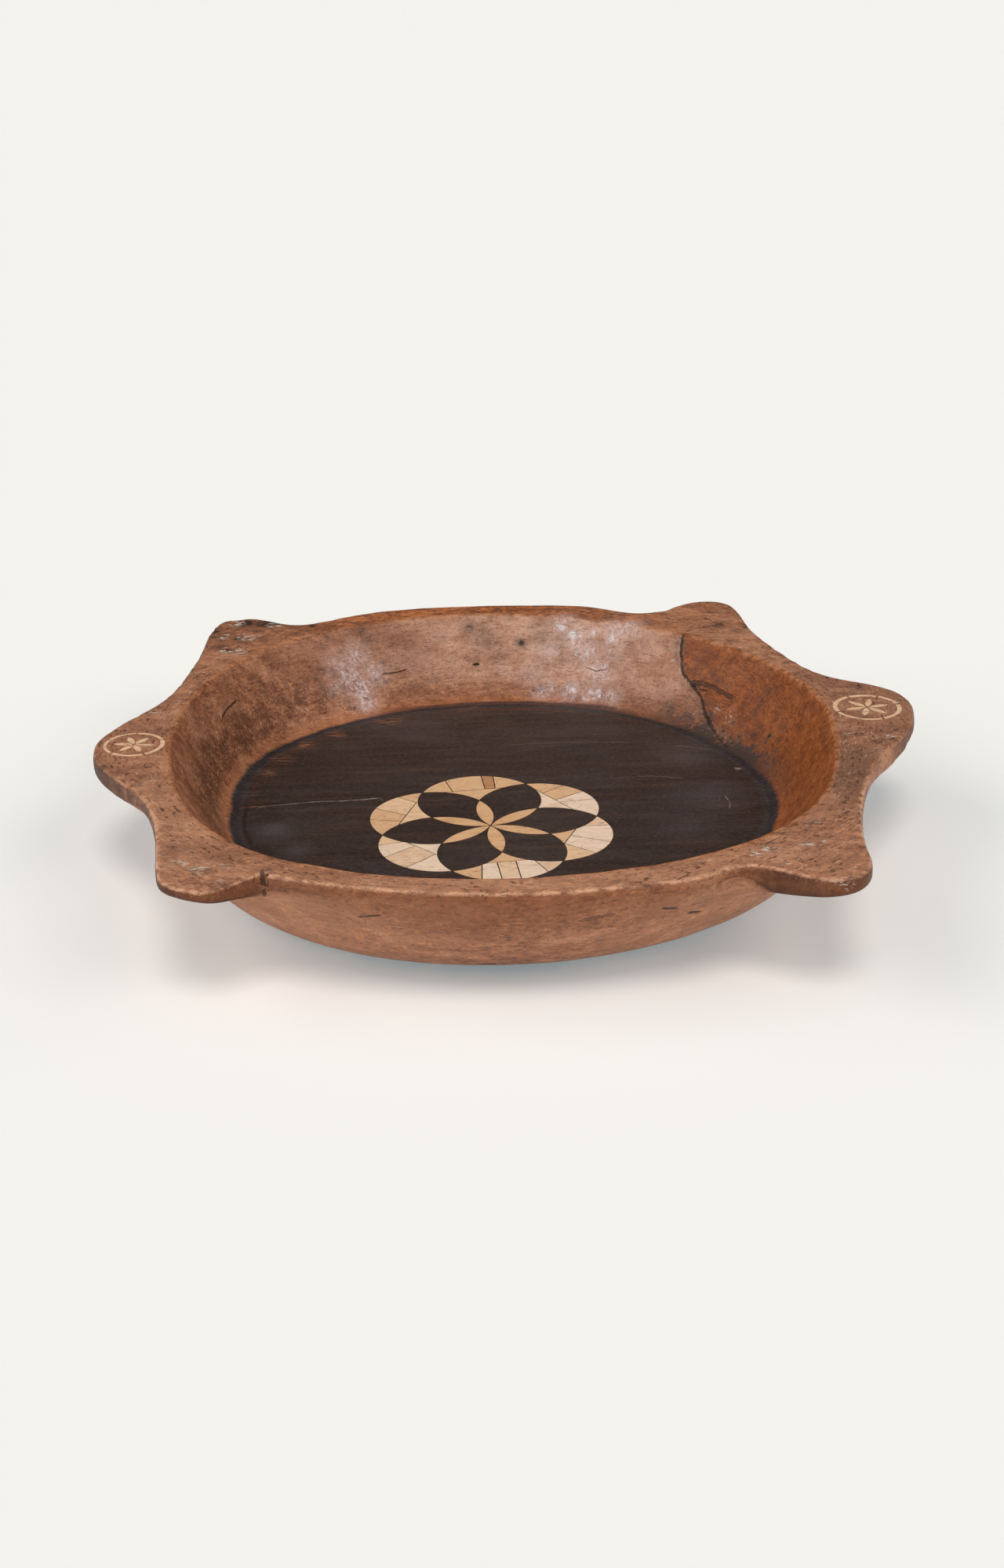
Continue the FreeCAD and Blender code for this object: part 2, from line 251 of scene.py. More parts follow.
def smoothstep(low, high, value):
    share = np.clip((value - low) / (high - low), 0.0, 1.0)
    return share * share * (3.0 - 2.0 * share)


def near_turn(turn, middle, spread):
    """Bell over directions, in degrees."""
    away = (turn - middle + 180.0) % 360.0 - 180.0
    return np.exp(-2.0 * (away / spread) ** 2)


def lattice_noise(points, cell, seed):
    """Smooth noise from -1 to 1, with features about one cell across."""
    size = 32
    table = np.random.default_rng(seed).uniform(-1.0, 1.0, (size, size, size))
    at = points / np.asarray(cell, float)
    low = np.floor(at).astype(int)
    share = smoothstep(0.0, 1.0, at - low)
    total = np.zeros(points.shape[:-1])
    for corner in itertools.product((0, 1), repeat=3):
        weight = np.ones(points.shape[:-1])
        for axis, far in enumerate(corner):
            weight *= share[..., axis] if far else 1.0 - share[..., axis]
        index = (low + corner) % size
        total += weight * table[index[..., 0], index[..., 1], index[..., 2]]
    return total


# ---- measuring

RAY_DIRECTIONS = np.arange(DIRECTIONS) * 2.0 * math.pi / DIRECTIONS


def smooth_round(values, width):
    """Even out a closed row of values with a bell of that many steps."""
    steps = np.fft.fftfreq(len(values)) * 2.0 * math.pi
    return np.fft.ifft(np.fft.fft(values) * np.exp(-0.5 * (steps * width) ** 2)).real


def measured_radii(tree, level, outside, width=3.0):
    """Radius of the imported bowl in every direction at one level."""
    reach = 0.4                # metres, beyond the lugs
    radii = []
    for angle in RAY_DIRECTIONS:
        out = Vector((math.cos(angle), math.sin(angle), 0.0))
        axis = Vector((*(BOWL_CENTRE * MM), level * MM))
        start, along = (axis + out * reach, -out) if outside else (axis, out)
        hit = tree.ray_cast(start, along)[0]
        radii.append((hit - axis).length / MM)
    return smooth_round(np.array(radii), width)


def measure_bowl():
    """Everything the profile needs, as functions of direction."""
    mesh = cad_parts[BOWL_NODE].data
    tree = BVHTree.FromPolygons([v.co for v in mesh.vertices],
                                [p.vertices[:] for p in mesh.polygons])
    low, high = 42.0, 66.0     # two levels of the straight inner wall
    inner_low = measured_radii(tree, low, False)
    inner_high = measured_radii(tree, high, False)
    slope = (inner_high - inner_low) / (high - low)
    levels = (3.0, 6.0, 10.0, 15.0, 20.0, 26.0, 32.0, 38.0, 44.0, 50.0)
    return {
        "opening": inner_high + slope * (RIM_LEVEL - high),
        "floor": inner_low + slope * (FLOOR_LEVEL - low),
        "outline": measured_radii(tree, high, True, 1.2),
        "wall_levels": np.array(levels),
        "wall": np.array([measured_radii(tree, level, True) for level in levels]),
    }


def column_directions(measured):
    """Directions of the mesh columns, evenly spread along rim and opening."""
    outline = measured["outline"]
    points = np.stack((outline * np.cos(RAY_DIRECTIONS), outline * np.sin(RAY_DIRECTIONS)), 1)
    along = np.linalg.norm(np.roll(points, -1, 0) - points, axis=1)
    share = 0.65 * along + 0.35 * measured["opening"] * 2.0 * math.pi / DIRECTIONS
    travelled = np.concatenate(([0.0], np.cumsum(share)))
    wanted = np.arange(COLUMNS) * travelled[-1] / COLUMNS
    return np.interp(wanted, travelled, np.arange(DIRECTIONS + 1) * 2.0 * math.pi / DIRECTIONS)


def in_columns(values, directions):
    return np.interp(directions, RAY_DIRECTIONS, values, period=2.0 * math.pi)


# ---- profile

def straight(start, end, rows):
    share = np.linspace(0.0, 1.0, rows)[:, None]
    return [a + (b - a) * share for a, b in zip(start, end)]


def arc(centre, radius, first, last, rows):
    """Arc in the profile; angle 0 points up, a quarter turn points outwards."""
    share = np.linspace(0.0, 1.0, rows)[:, None]
    angle = first + (last - first) * share
    return [centre[0] + radius * np.sin(angle), centre[1] + radius * np.cos(angle)]


def bezier(a, b, c, d, rows):
    t = np.linspace(0.0, 1.0, rows)[:, None]
    return [p * (1 - t) ** 3 + 3 * q * t * (1 - t) ** 2 + 3 * r * t * t * (1 - t) + s * t ** 3
            for p, q, r, s in zip(a, b, c, d)]


def profile(measured, directions):
    """Bands of rows from the middle of the floor, over the rim, to that of the foot."""
    opening = in_columns(measured["opening"], directions)
    floor = in_columns(measured["floor"], directions)
    outline = in_columns(measured["outline"], directions)
    turn = (np.degrees(directions) + 180.0) % 360.0 - 180.0
    bevel = np.clip((turn - BEVEL_END) / (STEP_DIRECTION - BEVEL_END), 0.0, 1.0)
    top_outline = outline - BEVEL_DEPTH * np.where(turn < STEP_DIRECTION, bevel, 0.0)
    levels = measured["wall_levels"]
    wall = np.array([in_columns(row, directions) for row in measured["wall"]])

    def wall_radius(level):
        step = np.clip(np.searchsorted(levels, level) - 1, 0, len(levels) - 2)
        share = (level - levels[step]) / (levels[step + 1] - levels[step])
        return wall[step] + (wall[step + 1] - wall[step]) * share

    bands = {}
    lean = np.arctan2(RIM_LEVEL - FLOOR_LEVEL, opening - floor)
    cos_lean, sin_lean = np.cos(lean), np.sin(lean)

    corner_run = CORNER_ROUND * np.tan(lean / 2.0)
    flat = floor - corner_run
    share = np.linspace(0.0, 1.0, 40)[:, None] ** 0.9
    bands["floor"] = [flat * share, FLOOR_LEVEL]
    bands["corner"] = arc((flat, FLOOR_LEVEL + CORNER_ROUND), CORNER_ROUND,
                          math.pi, math.pi - lean, 9)
    edge_run = INNER_EDGE_ROUND * np.tan(lean / 2.0)
    wall_foot = (floor + corner_run * cos_lean, FLOOR_LEVEL + corner_run * sin_lean)
    wall_head = (opening - edge_run * cos_lean, RIM_LEVEL - edge_run * sin_lean)
    bands["inner_wall"] = straight(wall_foot, wall_head, 27)
    bands["inner_edge"] = arc((opening + edge_run, RIM_LEVEL - INNER_EDGE_ROUND),
                              INNER_EDGE_ROUND, -lean, 0.0, 6)
    underside = PLATE_UNDERSIDE + (outline - PLATE_WALL_RADIUS) / PLATE_TAPER
    underside -= THICK_LUG_DROP * near_turn(turn, THICK_LUG_DIRECTION, THICK_LUG_SPREAD)
    thickness = RIM_LEVEL - underside
    upper_round = np.minimum(OUTER_EDGE_ROUND, 0.4 * thickness)
    lower_round = np.minimum(LOWER_EDGE_ROUND, 0.3 * thickness)
    bands["rim"] = straight((opening + edge_run, RIM_LEVEL),
                            (top_outline - upper_round, RIM_LEVEL), 20)
    bands["outer_edge"] = arc((top_outline - upper_round, RIM_LEVEL - upper_round),
                              upper_round, 0.0, math.pi / 2.0, 7)
    # between the lugs the side is short and its foot turns gently into the wall
    overhang = smoothstep(6.0, LUG_OVERHANG, outline - wall_radius(levels[-1]))
    side_foot = underside + lower_round
    side_foot += (1.0 - overhang) ** 2 * SIDE_LOST * (RIM_LEVEL - upper_round - side_foot)
    bands["side"] = straight((top_outline, RIM_LEVEL - upper_round), (outline, side_foot), 5)
    turned = np.radians(LEAST_TURN + (FULL_TURN - LEAST_TURN) * overhang)
    bands["lower_edge"] = arc((outline - lower_round, side_foot), lower_round,
                              math.pi / 2.0, math.pi / 2.0 + turned, 5)
    start = [band[-1] for band in bands["lower_edge"]]
    end = (wall_radius(WALL_JOIN_LEVEL), WALL_JOIN_LEVEL)
    height = 3.0               # over which the wall's slope is taken
    flare = wall_radius(WALL_JOIN_LEVEL + height) - end[0]
    reach = 0.4 * np.hypot(start[0] - end[0], start[1] - end[1])
    rise = reach / np.hypot(flare, height)
    bands["underside"] = bezier(
        start,
        (start[0] - reach * np.sin(turned), start[1] - reach * np.cos(turned)),
        (end[0] + flare * rise, end[1] + height * rise),
        end, 15)
    down = np.linspace(WALL_JOIN_LEVEL, levels[0], 21)
    bands["outer_wall"] = [np.array([wall_radius(level) for level in down]), down[:, None]]
    foot = wall_radius(levels[0])
    bands["foot_edge"] = bezier((foot, levels[0]), (foot - 4.0, 1.2),
                                (FOOT_FLAT + 5.0, 0.0), (FOOT_FLAT, 0.0), 6)
    share = np.linspace(1.0, 0.0, 22)[:, None]
    bands["underneath"] = [FOOT_FLAT * share, FOOT_HOLLOW * smoothstep(1.0, 0.85, share)]
    return bands


def surface_normals(points):
    along_row = np.roll(points, -1, 1) - np.roll(points, 1, 1)
    across = np.gradient(points, axis=0)
    normal = np.cross(across, along_row)
    length = np.linalg.norm(normal, axis=2, keepdims=True)
    normal = normal / np.maximum(length, 1e-9)
    normal[0] = (0.0, 0.0, 1.0)
    normal[-1] = (0.0, 0.0, -1.0)
    return normal


def clear_of_medallions(points):
    """One on open wood, zero over the two medallions."""
    clear = np.ones(points.shape[:-1])
    for centre, radius in MEDALLIONS:
        away = np.hypot(points[..., 0] - centre[0], points[..., 1] - centre[1])
        clear *= smoothstep(radius + 1.5, radius + 12.0, away)
    return clear


def near(points, place, radius):
    """Bell of that radius round a place."""
    away = np.linalg.norm(points - place, axis=-1)
    return np.exp(-2.0 * (away / radius) ** 2)


def carve(points, row_band):
    """Hand-cut unevenness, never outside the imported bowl's box."""
    normal = surface_normals(points)
    slow = lattice_noise(points, 46.0, 1)
    quick = lattice_noise(points, 17.0, 2)
    small = lattice_noise(points, (11.0, 6.0, 6.0), 3)
    fibre = lattice_noise(points, (16.0, 4.0, 4.0), 4)
    (floor, corner, inner_wall, inner_edge, rim, outer_edge, side, lower_edge,
     underside, outer_wall, _, underneath) = row_band.values()
    outside = rim + outer_edge + side + lower_edge + underside + outer_wall
    top = points[..., 2] > RIM_LEVEL - 1.0
    clear = np.where(top, clear_of_medallions(points), 1.0)
    shift = (corner + inner_wall + inner_edge) * (0.55 * slow + 0.3 * quick + 0.12 * small)
    shift += floor * (0.05 * slow + 0.04 * quick)
    shift -= outside * clear * (0.22 * (1.0 + slow) + 0.15 * (1.0 + quick)
                                + 0.08 * (1.0 + small))
    shift -= (inner_edge + outer_edge + lower_edge) * clear * 0.22 * (1.0 + fibre)
    shift -= underneath * 0.15 * (1.0 + quick)
    for *place, radius, depth in DENTS:
        shift -= clear * depth * near(points, place, radius) * (1.0 + 0.6 * fibre)
    rough_lug = near(points, (-175.0, 185.0, 72.0), 45.0) * top
    shift -= rough_lug * 0.7 * np.maximum(0.0, small + fibre)
    moved = points + normal * shift[..., None]
    moved[..., 2] = np.clip(moved[..., 2], 0.0, RIM_LEVEL + 0.1)
    return moved


# ---- mesh

def ring_step(ring):
    """Number of columns that a face of this ring spans, more where it is small."""
    radius = np.linalg.norm(ring[:, :2] - BOWL_CENTRE, axis=1).mean()
    column_width = 2.0 * math.pi * radius / COLUMNS
    step = 1
    while step < COARSEST_STEP and column_width * step < NARROWEST_FACE:
        step *= 2
    return step


def around(step):
    """Columns of a ring and the ones after them, all the way round."""
    return [(column, (column + step) % COLUMNS) for column in range(0, COLUMNS, step)]


def stitch(upper, upper_step, lower, lower_step):
    """Faces between two neighbouring rings of vertex numbers."""
    faces = []
    wide = max(upper_step, lower_step)
    for column, after in around(wide):
        middle = column + wide // 2
        a, b, c, d = upper[column], lower[column], lower[after], upper[after]
        if upper_step == lower_step:
            faces.append((a, b, c, d))
        elif upper_step > lower_step:
            half = lower[middle]
            faces.extend(((a, b, half), (a, half, d), (d, half, c)))
        else:
            half = upper[middle]
            faces.extend(((a, b, half), (half, b, c), (half, c, d)))
    return faces


def grid_mesh(points):
    """Rows and columns of the vertices in use, and the faces of the closed skin."""
    rows = len(points)
    steps = [ring_step(points[row]) for row in range(rows)]
    steps[0] = steps[1]
    steps[-1] = steps[-2]
    number = -np.ones((rows, COLUMNS), int)
    used = []
    for row in range(rows):
        columns = [0] if row in (0, rows - 1) else range(0, COLUMNS, steps[row])
        for column in columns:
            number[row, column] = len(used)
            used.append((row, column))
    faces = [(number[0, 0], number[1, column], number[1, after])
             for column, after in around(steps[1])]
    for row in range(1, rows - 2):
        faces.extend(stitch(number[row], steps[row], number[row + 1], steps[row + 1]))
    faces.extend((number[-2, column], number[-1, 0], number[-2, after])
                 for column, after in around(steps[-2]))
    return tuple(np.array(used).T), faces


def onto_surface(path, points, normals):
    """Move the points of a mark straight onto the surface."""
    path = np.array(path, float)
    for number, place in enumerate(path):
        nearest = np.argmin(np.linalg.norm(points - place, axis=1))
        path[number] -= normals[nearest] * np.dot(place - points[nearest], normals[nearest])
    return path


def mark_fields(points, normals):
    """Signed distance to the nearest mark, its half width there and its tone."""
    distance = np.full(len(points), 9.0)
    half_width = np.zeros(len(points))
    tone = np.zeros(len(points))
    for path, width, shade in MARKS:
        path = onto_surface(path, points, normals)
        nearest = np.full(len(points), 1e9)
        signed = np.zeros(len(points))
        overshoot = np.zeros(len(points))
        last = len(path) - 2
        for number, (start, end) in enumerate(zip(path[:-1], path[1:])):
            along = end - start
            length = np.linalg.norm(along)
            along = along / length
            offset = points - start
            run = offset @ along
            foot = start + np.clip(run, 0.0, length)[:, None] * along
            away = np.linalg.norm(points - foot, axis=1)
            side = np.sign(np.einsum("ij,ij->i", np.cross(along, offset), normals))
            before = -run if number == 0 else 0.0
            after = run - length if number == last else 0.0
            beyond = np.maximum(0.0, np.maximum(before, after))
            closer = away < nearest
            nearest = np.where(closer, away, nearest)
            signed = np.where(closer, away * side, signed)
            overshoot = np.where(closer, beyond, overshoot)
        reach = width * (1.0 - smoothstep(4.0, 6.0, nearest)) * np.clip(
            1.0 - overshoot / 2.0, 0.0, 1.0)
        better = (reach > 0.0) & (nearest < np.abs(distance))
        distance = np.where(better, signed, distance)
        half_width = np.where(better, reach, half_width)
        tone = np.where(better, shade, tone)
    return distance, half_width, tone


def patch_field(points, patches):
    field = np.zeros(len(points))
    for *place, radius, strength in patches:
        field = np.maximum(field, strength * near(points, place, radius))
    return field


def surface_fields(points, normals, bands):
    """Values on the vertices, by the names that the wood's material reads."""
    (floor, corner, inner_wall, inner_edge, rim, outer_edge, side, lower_edge,
     underside, outer_wall, *_) = bands.values()
    across, deep = (points[:, :2] - BOWL_CENTRE).T
    level = points[:, 2]
    radius = np.hypot(across, deep)
    turn = np.degrees(np.arctan2(deep, across))
    inner = floor + corner + inner_wall + 0.5 * inner_edge
    wobble = lattice_noise(points, 9.0, 11) * 0.7 + lattice_noise(points, 30.0, 12) * 0.9
    sector = 360.0 / len(STAIN_RADII)
    reached = np.interp(turn, np.arange(len(STAIN_RADII)) * sector, STAIN_RADII, period=360.0)
    stain = np.where(inner > 0.25, reached + wobble - radius, -20.0)
    lug = smoothstep(229.0, 241.0, radius)
    # the upper half of the outer edge is rubbed with the rim and carries the painted highlight
    crest = outer_edge * smoothstep(69.3, 70.8, level)
    below = np.clip(side + lower_edge + outer_edge - crest, 0.0, 1.0)
    wall = underside + outer_wall
    # painted light and shade by direction: the rim lighter at front left, front and front right
    # and darker at the right, the outer wall lighter at front left and front right
    shade = rim * (
        0.7 * near_turn(turn, -148.0, 26.0) + 0.45 * near_turn(turn, -56.0, 30.0)
        + 0.55 * near_turn(turn, -92.0, 30.0) - 0.5 * near_turn(turn, 4.0, 22.0)
        - 1.5 * near_turn(turn, -24.0, 17.0) - 0.2)
    shade += wall * (
        0.8 * near_turn(turn, -128.0, 40.0) + 0.8 * near_turn(turn, -50.0, 44.0) - 0.12)
    seam = np.interp(level, SEAM_LEVELS, SEAM_DIRECTIONS)
    mended = (smoothstep(seam + 1.2, seam - 1.2, turn)
              * smoothstep(-62.0, -30.0, turn) * (inner > 0.4))
    right_face = (normals[:, 0] > 0.2) * smoothstep(40.0, 62.0, level)
    distance, half_width, tone = mark_fields(points, normals)
    return {
        "stain": np.clip(stain, -20.0, 40.0),
        "rubbed": patch_field(points, RUBBED),
        "smoke": np.clip(1.2 * near_turn(turn, 28.0, 34.0), 0.0, 1.0),
        "amber": near_turn(turn, 76.0, 34.0) + 0.6 * near_turn(turn, 150.0, 40.0),
        # back wall: paler tone, partly painted light
        "back_wall_tone_and_light": near_turn(turn, 73.0, 49.0) * inner_wall
                     * (0.25 + 0.75 * smoothstep(26.0, 42.0, level)),
        "mended": mended,
        "inner": inner,
        # rim edges: wear, and partly painted highlight
        "edge": np.clip(inner_edge + crest, 0.0, 1.0),
        "shade": shade,
        "inner_lip": inner_edge,
        "top_face": np.clip(rim + 0.6 * outer_edge, 0.0, 1.0),
        "polished": (rim + outer_edge) * near_turn(turn, 95.0, 52.0),
        "left_wall": near_turn(turn, 172.0, 60.0) * inner_wall
                     * (1.0 - 0.85 * smoothstep(38.0, 62.0, level)),
        # painted shade on the sides of the lugs
        "painted_shade_lug_side": below * lug,
        # painted shade on sides facing left
        "painted_shade_left_side": below * smoothstep(0.2, 0.8, -normals[:, 0]),
        # painted shade and patina on the far edges
        "far_edge_shade_and_patina": (outer_edge + side) * smoothstep(-60.0, 60.0, points[:, 1]),
        # painted shade under the lugs' lower edges
        "painted_shade_under_edge": lower_edge * lug,
        # painted highlight on the near edge
        "painted_highlight_front_edge": crest * smoothstep(-60.0, -120.0, points[:, 1]),
        # painted shade on the front sides and the upper outer wall
        "painted_shade_front_side": (below + wall) * near_turn(turn, -95.0, 44.0)
                    * smoothstep(34.0, 72.0, level),
        "glow": 0.3 + 0.7 * near_turn(turn, 84.0, 80.0),
        "end_grain": normals[:, 0] ** 2 * (1.0 - 0.55 * right_face),
        "mark_distance": distance,
        "mark_width": half_width,
        "mark_tone": tone,
        "smudge_and_shade": patch_field(points, SMUDGES_AND_SHADE),
        "chipped": patch_field(points, CHIPPED),
        # bloom of polish, partly painted sheen
        "bloom_and_sheen": patch_field(points, BLOOM_AND_SHEEN),
    }


def build_bowl():
    measured = measure_bowl()
    directions = column_directions(measured)
    bands = profile(measured, directions)
    radii, levels, owner = [], [], []
    for name, (band_radii, band_levels) in bands.items():
        first = 0 if not radii else 1
        band_radii = np.broadcast_to(band_radii, (len(band_radii), COLUMNS))
        band_levels = np.broadcast_to(band_levels, band_radii.shape)
        radii.append(band_radii[first:])
        levels.append(band_levels[first:])
        owner.extend([name] * (len(band_radii) - first))
    radii, levels = np.concatenate(radii), np.concatenate(levels)
    points = np.stack((BOWL_CENTRE[0] + radii * np.cos(directions),
                       BOWL_CENTRE[1] + radii * np.sin(directions), levels), 2)
    soften = np.array([0.25, 0.5, 0.25])
    row_band = {}
    for name in bands:
        weight = np.array([float(name == own) for own in owner])
        padded = np.pad(weight, 1, mode="edge")
        row_band[name] = np.convolve(padded, soften, "valid")[:, None]
    points = carve(points, row_band)
    used, faces = grid_mesh(points)
    normals = surface_normals(points)[used]
    vertices = points[used]

    mesh = bpy.data.meshes.new("carved_bowl")
    mesh.from_pydata((vertices * MM).tolist(), [], faces)
    mesh.polygons.foreach_set("use_smooth", [True] * len(mesh.polygons))
    on_band = {name: weight[used[0], 0] for name, weight in row_band.items()}
    for name, values in surface_fields(vertices, normals, on_band).items():
        attribute = mesh.attributes.new(name, "FLOAT", "POINT")
        attribute.data.foreach_set("value", values.astype(np.float32))
    mesh.update()
    bowl = add_object("carved_bowl", mesh)
    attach(bowl, "root")
    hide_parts(BOWL_NODE)
    return bowl


# ---- materials

def tint(red, green, blue):
    """Colour from display values 0 to 255."""
    return tuple(((v / 255.0 + 0.055) / 1.055) ** 2.4 for v in (red, green, blue)) + (1.0,)


class Shading:
    """Short calls for building one material's node tree."""

    def __init__(self, name):
        self.material = bpy.data.materials.new(name)
        self.material.use_nodes = True
        self.tree = self.material.node_tree
        metres = self.add("TexCoord").outputs["Object"]
        self.place = self.add("VectorMath", {0: metres, "Scale": 1.0 / MM},
                              operation="SCALE").outputs[0]

    def feed(self, node, inputs):
        """Link or set inputs, given in order or with their numbers or names."""
        for key, value in inputs.items() if isinstance(inputs, dict) else enumerate(inputs):
            if isinstance(value, bpy.types.NodeSocket):
                self.tree.links.new(value, node.inputs[key])
            else:
                node.inputs[key].default_value = value

    def add(self, kind, inputs=(), **settings):
        node = self.tree.nodes.new("ShaderNode" + kind)
        for name, value in settings.items():
            setattr(node, name, value)
        self.feed(node, inputs)
        return node

    def attributes(self, *names):
        """Values stored on the mesh's vertices."""
        return [self.add("Attribute", attribute_name=name).outputs["Fac"] for name in names]

    def math(self, operation, first, second=0.0, third=0.0, clamp=False):
        return self.add("Math", (first, second, third), operation=operation,
                        use_clamp=clamp).outputs[0]

    def times(self, product, *others, clamp=False):
        """Product of all values; clamp holds it between 0 and 1."""
        for other in others:
            product = self.math("MULTIPLY", product, other, clamp=clamp)
        return product

    def total(self, *terms, start=0.0):
        """Sum of pairs of value and weight."""
        added = start
        for value, weight in terms:
            added = self.math("MULTIPLY_ADD", value, weight, added)
        return added

    def ramp(self, value, low, high, out_low=0.0, out_high=1.0):
        """Smooth step of a value between two limits."""
        return self.add("MapRange", (value, low, high, out_low, out_high),
                        interpolation_type="SMOOTHSTEP").outputs[0]

    def colours(self, value, stops):
        """Colour ramp through display colours at these positions."""
        node = self.add("ValToRGB", (value,))
        elements = node.color_ramp.elements
        while len(elements) < len(stops):
            elements.new(0.5)
        for element, (position, colour) in zip(elements, stops):
            element.position = position
            element.color = tint(*colour)
        return node.outputs[0]

    def mix(self, share, *colours):
        """Two colours, each a socket or three display values, blended by share."""
        first, second = (tint(*c) if isinstance(c, tuple) else c for c in colours)
        return self.add("Mix", {0: share, 6: first, 7: second}, data_type="RGBA").outputs[2]

    def round_the_bowl(self):
        """Coordinates round the bowl: way along, distance from the axis, height."""
        x, y, z = self.add("SeparateXYZ", (self.place,)).outputs
        across = self.math("SUBTRACT", x, BOWL_CENTRE[0])
        deep = self.math("SUBTRACT", BOWL_CENTRE[1], y)
        along = self.times(self.math("ARCTAN2", across, deep), RING_RADIUS)
        away = self.math("SQRT", self.total((across, across), (deep, deep)))
        return self.add("CombineXYZ", (along, away, z)).outputs[0]

    def noise(self, lengths, detail=3.0, roughness=0.55, distortion=0.0,
              turn=(0.0, 0.0, 0.0), shift=(0.0, 0.0, 0.0), source=None):
        """Noise whose cells have these lengths in mm, turned by degrees."""
        mapping = self.add("Mapping", {
            "Vector": self.place if source is None else source, "Location": shift,
            "Rotation": [math.radians(t) for t in turn],
            "Scale": [1.0 / length for length in lengths]})
        return self.add("TexNoise", {
            "Vector": mapping.outputs[0], "Scale": 1.0, "Detail": detail,
            "Roughness": roughness, "Distortion": distortion}).outputs["Fac"]

    def hairline(self, lengths, turn, seed, width):
        """Thin meandering lines where a stretched noise crosses its middle."""
        level = self.noise(lengths, 1.0, turn=turn, shift=(seed, 2.0 * seed, 3.0 * seed))
        away = self.math("ABSOLUTE", self.math("SUBTRACT", level, 0.5))
        return self.ramp(away, 0.0, width, 1.0, 0.0)

    def finish(self, colour, roughness, height, bump_distance, specular):
        bump = self.add("Bump", {"Strength": 1.0, "Distance": bump_distance, "Height": height})
        self.feed(self.tree.nodes["Principled BSDF"], {
            "Base Color": colour, "Roughness": roughness, "Normal": bump.outputs[0],
            "Specular IOR Level": specular})
        return self.material


